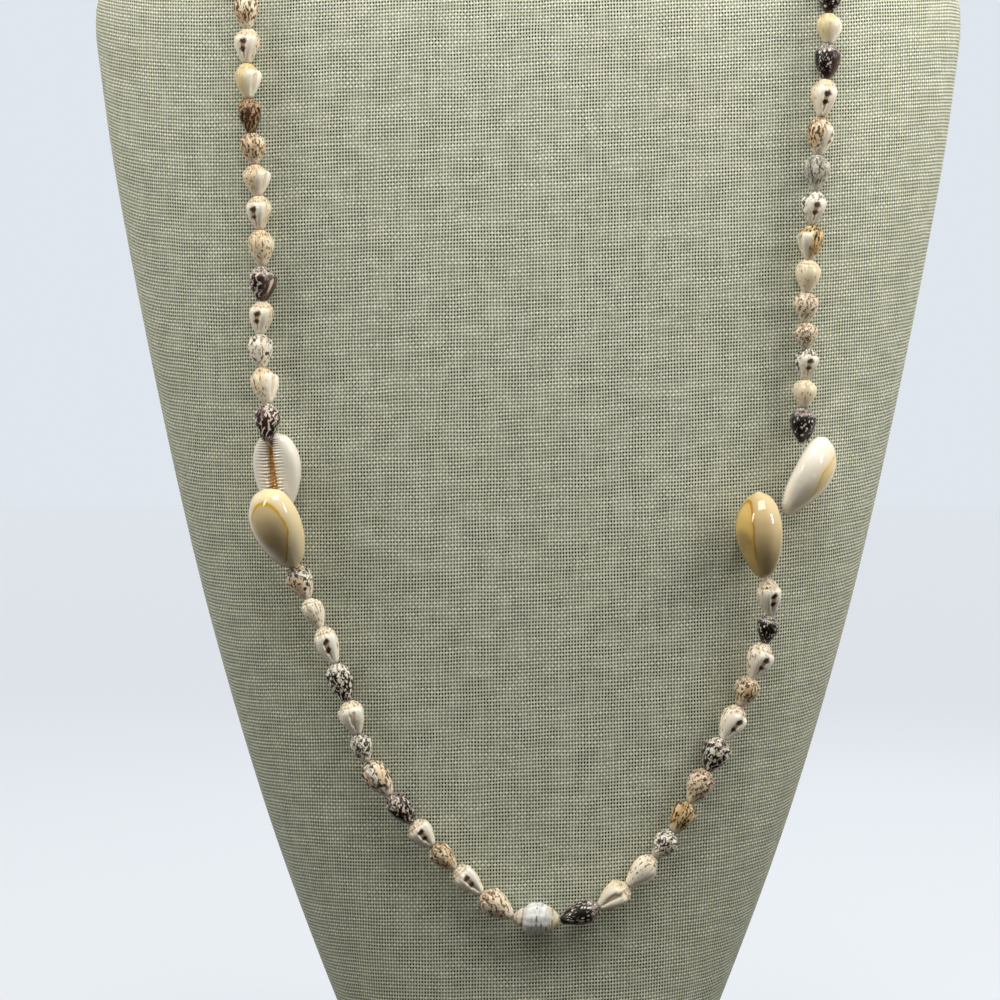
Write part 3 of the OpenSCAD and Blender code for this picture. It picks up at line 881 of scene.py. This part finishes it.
# The mouth and its two dark spots
throat = shell.attribute("mouth").rise(0.2, 0.9)
skin = shell.mix(throat, skin, shell.attribute("inner", "Color"))
aside = (turn * 20 - (up - 0.42) * 1.3 + 0.25) * 0.9
stain = 0.0
for height, size in ((0.57, 0.085), (0.35, 0.070)):
    away = (aside ** 2 + ((up - height + (ripple - 0.5) * 0.14) / size) ** 2) ** 0.5
    stain = away.fall(0.60, 1.15).most(stain)
skin = shell.mix(stain * shell.attribute("stains"), skin, ink(44, 27, 19))

# Gloss and relief
shell.set(Base_Color=skin, Roughness=growth * 0.15 + 0.25, Coat_Weight=0.22, Coat_Roughness=0.13)
folds = ((turn * 17 + ripple * 0.5).fract() - 0.5).size() * up.rise(0.45, 0.72)
rim_teeth = ((up * 15).fract() - 0.5).size() * lip
relief = growth * (cap * 0.9 + 0.35) + folds * 1.3 + rim_teeth * 0.5 + ripple * 0.8
shell.set(Normal=shell.bump(relief, 0.35, 0.35 * MM), Subsurface_Weight=0.04, Specular_IOR_Level=0.42)
shell.set(Subsurface_Radius=(1.0 * MM, 0.7 * MM, 0.5 * MM), Subsurface_Scale=1.0)
print("shell finish nodes:", len(shell.tree.nodes))

# %% [markdown]
# ### Stringing the dove shells
# Each place on the string names its look. The names follow the photograph from
# the cowrie outwards. For the shells further up, which it doesn't show, a rule
# takes the looks in turn. A * asks for the knobbly form, and a : for a mouth
# with two dark spots. Every copy has its own mesh and its own seed.

# %% Place the dove shells
upper_left_looks = (
    "zigzag cream_tan spotted* pale: zigzag cream_tan pale: cream_tan tan* brown cream pale: tan").split()
upper_right_looks = (
    "dark ivory* blotched: striped striped* ivory golden blotched: grey* tan: pale: dark cream dark").split()
lower_left_looks = (
    "harlequin white* white: netted* white blotched* harlequin zigzag white: tan* white: striped*").split()
lower_right_looks = (
    "white: dark white: tan* white: netted* pink_tan* golden* blotched* white ivory* dark").split()
inner_tan, inner_pale = ink(196, 170, 138), ink(226, 214, 192)
# The second rim is a brighter copy for the white look: painted light for the lower strings
rim_dark, rim_white_lit, rim_ivory = ink(92, 74, 68), ink(253, 250, 242), ink(243, 238, 226)
rng = random.Random(7)


def place_dove(name, where, look):
    """A copy of the dove shell in its own place and colours."""
    source = knobbly_dove if "*" in look else plain_dove
    obj = bpy.data.objects.new(name, source.data.copy())
    bpy.context.scene.collection.objects.link(obj)
    obj.data.transform(where)
    ground, marks, tint, dots, zigzag, specks, tint_share, fine = looks[look.strip("*:")]
    is_dark = sum(ground[:3]) < sum(marks[:3])
    rim = rim_dark if is_dark else rim_white_lit if look.startswith("white") else rim_ivory
    inner = inner_tan if ":" in look else inner_pale
    colours = {"ground": ground, "marks": marks, "tint": tint, "rim": rim, "inner": inner}
    for part, colour in colours.items():
        set_one(obj, part, "FLOAT_COLOR", colour)
    set_one(obj, "stains", "FLOAT", rng.uniform(0.8, 1.0) if ":" in look else 0.0)
    set_one(obj, "amounts", "FLOAT_VECTOR", (dots, zigzag, specks))
    set_one(obj, "tint_share", "FLOAT", tint_share)
    set_one(obj, "tip_share", "FLOAT", 0.1 if is_dark else 0.55)
    set_one(obj, "fine", "FLOAT", fine)
    set_one(obj, "seed", "FLOAT_VECTOR", tuple(rng.uniform(0, 40) for _ in range(3)))
    obj.data.materials.append(shell.material)
    return obj


def hidden_look(i):
    """The look of a shell that the photograph doesn't show."""
    names = list(looks)
    return names[(i * 5) % len(names)] + (":" if i % 3 == 0 else "*")


def place_string(name, frames, shown, node):
    """All shells of an upper string as one piece."""
    parts = []
    for i, where in enumerate(frames):
        look = shown[i] if i < len(shown) else hidden_look(i)
        parts.append(place_dove(f"{name}_{i}", where, look))
    take(parts[0])
    for part in parts:
        part.select_set(True)
    bpy.ops.object.join()
    whole = named(name)
    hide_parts(node)
    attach(whole, "root")
    print(name, len(whole.data.polygons), "faces")


place_string("upper_left_shells", left_frames, upper_left_looks, "upper_left_string")
place_string("upper_right_shells", right_frames, upper_right_looks, "upper_right_string")
for node, where in lower_frames.items():
    shown = lower_left_looks if "left" in node else lower_right_looks
    look = shown[int(node[-2:]) - 1]
    piece = place_dove(node.replace("lower", "dove_lower"), where, look)
    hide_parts(node)
    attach(piece, "root")
for master in (plain_dove, knobbly_dove):
    bpy.data.objects.remove(master)

# %% [markdown]
# ## The ring cowries
# A ring cowrie is an egg with a flat side. Its slit runs along the flat side
# between two rows of teeth. The model starts as a sphere with its poles at the
# shell's ends. Each ring is sized for the egg's outline, the flat side is
# pressed in, and the middle row of faces is pushed in as the slit. Beside the
# slit every other ring is raised and the one next to it sunk, which makes the
# teeth.

# %% Cowrie form
# Station from the upper end, half width, back and base, as shares
cowrie_form = [
    (0.00, 0.05, 0.05, 0.10), (0.04, 0.42, 0.40, 0.60), (0.12, 0.69, 0.70, 0.90), (0.25, 0.92, 0.94, 1.00),
    (0.40, 1.00, 1.00, 1.00), (0.55, 0.95, 0.91, 0.98), (0.70, 0.80, 0.70, 0.90), (0.84, 0.58, 0.46, 0.70),
    (0.95, 0.32, 0.25, 0.42), (1.00, 0.05, 0.05, 0.10)
]
cowrie_rings, cowrie_sides = 72, 36
half_width, back_height, base_depth, half_length = 7.0, 6.4, 3.6, 11.2
slit_half_width, slit_depth = 1.0, 1.3
tooth_height, dip_between = 0.50, 0.54
# How far the slit and the teeth on its two sides reach, as shares of the half width
slit_reach, left_reach, right_reach = 0.12, 0.82, 0.60


def curve_at(table, x, column):
    """A column of a table at x, as a smooth curve through its rows."""
    x = held(x, table[0][0], table[-1][0])
    i = max(k for k in range(len(table) - 1) if table[k][0] <= x)

    def slope(k):
        a, b = table[max(k - 1, 0)], table[min(k + 1, len(table) - 1)]
        return (b[column] - a[column]) / (b[0] - a[0])

    width = table[i + 1][0] - table[i][0]
    u = (x - table[i][0]) / width
    return ((2 * u ** 3 - 3 * u ** 2 + 1) * table[i][column] + (u ** 3 - 2 * u ** 2 + u) * width * slope(i)
            + (3 * u ** 2 - 2 * u ** 3) * table[i + 1][column] + (u ** 3 - u ** 2) * width * slope(i + 1))


def model_cowrie(name, fullness, drop):
    """One cowrie in millimetres: its back faces +Y and its wide end is at +Z."""
    bpy.ops.object.select_all(action="DESELECT")
    bpy.ops.mesh.primitive_uv_sphere_add(segments=cowrie_sides, ring_count=cowrie_rings, radius=1)
    obj = named(name)
    take(obj)
    bpy.ops.transform.rotate(value=math.pi / cowrie_sides, orient_axis="Z", center_override=(0, 0, 0))
    bpy.ops.object.transform_apply()
    for v in obj.data.vertices:
        shape_cowrie(v, fullness, drop)
    cut_slit(obj)
    smooth_over(obj, 2)
    set_values(obj, "place", "FLOAT_VECTOR", [tuple(v.co) for v in obj.data.vertices])
    return obj


def shape_cowrie(v, fullness, drop):
    """Moves a point of the round start to the egg with its flat side."""
    station = (1 - v.co.z) / 2
    width, back, base = (curve_at(cowrie_form, station ** drop, column) ** fullness for column in (1, 2, 3))
    off_axis = min(math.hypot(v.co.x, v.co.y) * 1000, 1)
    turn = math.atan2(v.co.x, v.co.y)
    v.co.x = off_axis * half_width * width * math.sin(turn)
    if math.cos(turn) > 0:
        v.co.y = off_axis * back_height * back * math.cos(turn)
    else:
        v.co.y = -off_axis * base_depth * base * abs(math.cos(turn)) ** 0.7
    v.co.z = half_length * (1 - 2 * station)


def cut_slit(obj):
    """Pushes in the middle row of the flat side and raises the teeth beside it."""
    def in_slit(face):
        x, y, z = face.center
        return abs(x) < 0.25 and y < -1 and abs(z) < half_length * 0.88

    mesh = obj.data
    stations = sorted({round(v.co.z, 3) for v in mesh.vertices})
    grooves = [0.0] * len(mesh.vertices)
    for v in mesh.vertices:
        if v.co.y > -0.5 or abs(v.co.z) > half_length * 0.90:
            continue
        odd = stations.index(round(v.co.z, 3)) % 2
        out = abs(v.co.x) / half_width
        wide = 1.0 - 0.6 * v.co.z / half_length
        reach = left_reach if v.co.x < 0 else right_reach
        fade = 1 - step(slit_reach, reach, out)
        grooves[v.index] = 0.0 if odd else fade
        if out < slit_reach:
            v.co.x = math.copysign(slit_half_width * wide * (0.35 if odd else 1.55), v.co.x)
            v.co.y += 0.30 if odd else 0.85
        else:
            v.co.y += (-tooth_height if odd else dip_between) * fade
    # Marks the dips between the teeth, which the finish paints darker as shade
    set_values(obj, "groove", "FLOAT", grooves)
    pick(obj, in_slit, "FACE")
    bpy.ops.mesh.extrude_region_move(TRANSFORM_OT_translate={"value": (0, slit_depth, 0)})
    bpy.ops.transform.resize(value=(1.2, 1, 0.97), center_override=(0, 0, 0))
    done()
    chosen = [f.index for f in mesh.polygons if f.select]
    mask_faces(obj, "mouth", lambda f: f.index in chosen)


# %% Measure a cowrie's solid
def cowrie_frame(node, size):
    """Across, back and along of a cowrie, from the walls and floor of its slit."""
    solid = merged_copy(nodes[node], "measured")
    faces = [(f.area, f.normal.copy()) for f in solid.data.polygons]
    side = max(faces)[1]
    level = [(area, n) for area, n in faces if abs(n.dot(side)) < 0.01]
    back = -max(level, key=lambda row: sum(a for a, n in level if n.dot(row[1]) > 0.999))[1]
    low_end = side.cross(back)
    if low_end.z > 0:
        low_end = -low_end
    across = back.cross(-low_end)
    turn = Matrix((across, back, -low_end)).transposed()
    points = [turn.transposed() @ v.co for v in solid.data.vertices]
    lows = [min(p[i] for p in points) for i in range(3)]
    highs = [max(p[i] for p in points) for i in range(3)]
    centre = Vector(((lows[0] + highs[0]) / 2, 0, (lows[2] + highs[2]) / 2))
    widest = [p.y for p in points if abs(p.x - centre.x) > 0.97 * (highs[0] - lows[0]) / 2]
    centre.y = sum(widest) / len(widest)
    bpy.data.objects.remove(solid)
    print(node, "length in mm:", round((highs[2] - lows[2]) / MM, 1))
    return Matrix.Translation(turn @ centre) @ turn.to_4x4() @ Matrix.Scale(size * MM, 4)


# %% [markdown]
# ### Porcelain of the cowries
# The shell is as glossy as porcelain. The flat side is ivory white, the slit
# is ochre inside, and a thin golden line rings the back, whose middle is more or
# less smoky. One cowrie has a pale scar on its flank.

# %% Cowrie finish
def cowrie_finish(name, inside, outside, margin, ring_colour, smoke_and_shade, ring, scar=0.0):
    """Porcelain whose golden ring has a middle across and along, a half width and a half height."""
    finish = Finish(name)
    place = finish.attribute("place", "Vector")
    x, y, z = finish.parts(place)
    wave = finish.noise(place, 0.35, 2.0)
    grain = finish.noise(finish.scaled(place, 1.0, 1.0, 0.25), 1.6, 2.0)
    middle_x, middle_z, ring_width, ring_height = ring

    # The ring round the back, and what lies within it
    high = (z - middle_z) / ring_height
    wide = (x - middle_x) / (((z * 0.05 + 0.9).least(1.0) + (wave - 0.5) * 0.1) * ring_width)
    round_it = (high * high + wide * wide) ** 0.5
    on_back = y.rise(0.4, 1.4)
    line = (round_it - 1).size().fall(0.022, 0.055) * on_back
    within = round_it.fall(0.97, 1.02) * on_back

    # From the flat side over the margin to the back, with its smoke, a painted shade towards the lower end,
    # and its ring
    colour = finish.mix(y.rise(-3.7, -1.9), ink(246, 243, 235), margin)
    colour = finish.mix(y.rise(0.6, 3.0), colour, outside)
    colour = finish.mix(within, colour, inside)
    blot = ((x * x + (z + 0.8) * (z + 0.8)) ** 0.5 + (wave - 0.5) * 3).fall(0.6, 4.2) * within
    colour = finish.mix(blot * smoke_and_shade, colour, ink(128, 108, 76))
    # Painted shade: darker towards the lower end, where the light from above falls off; the smoke value sets
    # how much
    painted_low_shade = z.fall(-9.5, 0.0) * max(smoke_and_shade - 0.3, 0) * 1.2
    colour = finish.mix(painted_low_shade, colour, ink(104, 86, 52))
    halo = (round_it - 1).size().fall(0.03, 0.20) * on_back
    colour = finish.mix(halo * 0.25, colour, ring_colour)
    colour = finish.mix(line * (wave.rise(0.25, 0.55) * 0.4 + 0.6), colour, ring_colour)

    # A pale scar on the flank, painted shade in the dips between the teeth, and the slit
    scar_y, scar_z = 2.3, 0.2
    dot = ((y - scar_y) ** 2 + (z - scar_z) ** 2).most(0.0) ** 0.5
    colour = finish.mix(dot.fall(0.45, 0.70) * x.rise(3.0, 4.0) * scar, colour, ink(252, 250, 248))
    groove = finish.attribute("groove").rise(0.1, 0.9)
    # Painted shade: the dips between the teeth are darker, as if shadowed
    colour = finish.mix(groove * 0.8, colour, ink(180, 158, 128))
    throat = finish.attribute("mouth").rise(0.2, 0.8)
    ochre = finish.mix(grain.rise(0.35, 0.65), ink(196, 138, 44), ink(238, 190, 98))
    colour = finish.mix(throat, colour, ochre)
    finish.set(Base_Color=colour, Roughness=0.09, Coat_Weight=0.6, Coat_Roughness=0.03)
    finish.set(Normal=finish.bump(wave, 0.2, 0.5 * MM), Subsurface_Weight=0.10)
    finish.set(Subsurface_Radius=(1.6 * MM, 1.2 * MM, 0.8 * MM), Subsurface_Scale=1.0)
    return finish.material


gold = ink(206, 168, 6)
# Size, fullness, how far down the widest place is, slot and finish
cowries = {
    "upper_left_cowrie": (0.92, 0.72, 1.05, "cowrie_flat_side", cowrie_finish(
        "ivory cowrie", ink(212, 204, 184), ink(240, 236, 222), ink(244, 241, 232), gold, 0.3,
        (0, -0.9, 4.6, 8.1))),
    "lower_left_cowrie": (1.0, 0.72, 1.05, "cowrie_back", cowrie_finish(
        "ringed cowrie", ink(226, 206, 162), ink(240, 226, 192), ink(242, 226, 184), gold, 0.18,
        (-0.9, 0.7, 4.9, 8.7))),
    "upper_right_cowrie": (1.0, 0.85, 1.12, "cowrie_flat_side", cowrie_finish(
        "pearly cowrie", ink(248, 228, 180), ink(242, 235, 216), ink(245, 241, 230), ink(236, 204, 120), 0.0,
        (0.2, -0.9, 5.5, 9.2), 0.8)),
    "lower_right_cowrie": (1.0, 0.9, 1.12, "cowrie_golden_back", cowrie_finish(
        "golden cowrie", ink(222, 190, 112), ink(206, 184, 138), ink(220, 202, 160), ink(176, 132, 14), 0.6,
        (-0.2, -1.5, 3.9, 10.5))),
}
for node, (size, fullness, drop, slot, material) in cowries.items():
    piece = model_cowrie(node.replace("cowrie", "ring_cowrie"), fullness, drop)
    piece.data.transform(cowrie_frame(node, size))
    piece.data.materials.append(material)
    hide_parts(node)
    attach(piece, "root")

# %% [markdown]
# ## The whelk
# The white whelk lies across the bottom with its tip to the left. Its whorls
# are wider steps of the same kind of form, and each seam winds round the shell.

# %% Whelk form
# Height above the mouth end and radius, both as shares
whelk_rings = [
    (0.03, 0.36), (0.08, 0.50), (0.14, 0.66), (0.23, 0.82), (0.32, 0.93), (0.42, 0.99), (0.50, 1.00),
    (0.58, 0.98), (0.65, 0.92), (0.70, 0.83), (0.735, 0.70), (0.755, 0.61), (0.775, 0.60), (0.81, 0.61),
    (0.85, 0.55), (0.875, 0.46), (0.89, 0.42), (0.92, 0.38), (0.965, 0.26)
]
whelk_sides = 40
whelk_mouth_depth = 0.35
# How far the seams climb in one turn
whelk_climb = 0.10


def model_whelk():
    """The whelk, standing on its mouth end, with whorls that wind up to its tip."""
    obj = ringed_form("white_whelk", whelk_sides, whelk_rings, 0.24, 0.14)
    push_in_mouth(obj, whelk_mouth_depth)
    for v in obj.data.vertices:
        turn = whorl_turn(v.co.x, v.co.y)
        spire = held((v.co.z - 0.55) / 0.12) * held((1.0 - v.co.z) / 0.05)
        v.co.z += spire * whelk_climb * (0.5 - turn / math.tau)
        fold = 1 + 0.025 * math.cos(11 * turn + 3 * v.co.z) * (1 - step(0.3, 0.1, v.co.z))
        v.co.x, v.co.y = v.co.x * fold, v.co.y * fold
    smooth_over(obj, 1)
    set_values(obj, "place", "FLOAT_VECTOR", [tuple(v.co) for v in obj.data.vertices])
    return obj


whelk = model_whelk()
whelk.data.transform(frame_of("bottom_whelk", tip_is_narrow=False))
print("whelk faces:", len(whelk.data.polygons))

# %% Whelk finish
chalk = Finish("white whelk")
place = chalk.attribute("place", "Vector")
x, y, z = chalk.parts(place)
turn = chalk.node("ShaderNodeMath", {"operation": "ARCTAN2"}, {0: y, 1: x}) / math.tau
turn = (turn - whorl_start / 360 + 2).fract()
level = z - (0.5 - turn) * whelk_climb
cloud = chalk.noise(place, 3.0, 3.0, 0.6)
body = chalk.mix(cloud.rise(0.35, 0.7), ink(238, 240, 240), ink(206, 214, 222))
seams = (level - 0.785).size().fall(0.010, 0.028).most((level - 0.91).size().fall(0.008, 0.02))
body = chalk.mix(seams * 0.85, body, ink(176, 136, 84))
rows = ((z * 9).fract() - 0.5).size().fall(0.10, 0.24)
spots = chalk.noise(chalk.scaled(place, 3.0, 3.0, 8.0), 1.0, 1.0).rise(0.50, 0.58) * rows * z.fall(0.56, 0.64)
bands = chalk.noise(chalk.scaled(place, 1.5, 1.5, 14.0), 1.0, 2.0).rise(0.48, 0.62) * z.fall(0.60, 0.70)
body = chalk.mix(bands * 0.35, body, ink(150, 158, 164))
body = chalk.mix(spots * 0.85, body, ink(92, 94, 96))
lines = ((z * 26).fract() - 0.5).size().fall(0.12, 0.30) * z.fall(0.20, 0.30)
body = chalk.mix(lines * 0.9, body, ink(206, 178, 84))
body = chalk.mix(z.rise(0.76, 0.92) * 0.5, body, ink(226, 206, 172))
throat = chalk.attribute("mouth").rise(0.3, 0.8)
body = chalk.mix(throat, body, ink(200, 170, 130))
chalk.set(Base_Color=body, Roughness=0.38, Coat_Weight=0.1, Normal=chalk.bump(cloud, 0.2, 0.2 * MM))
whelk.data.materials.append(chalk.material)
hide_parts("bottom_whelk")
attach(whelk, "root")
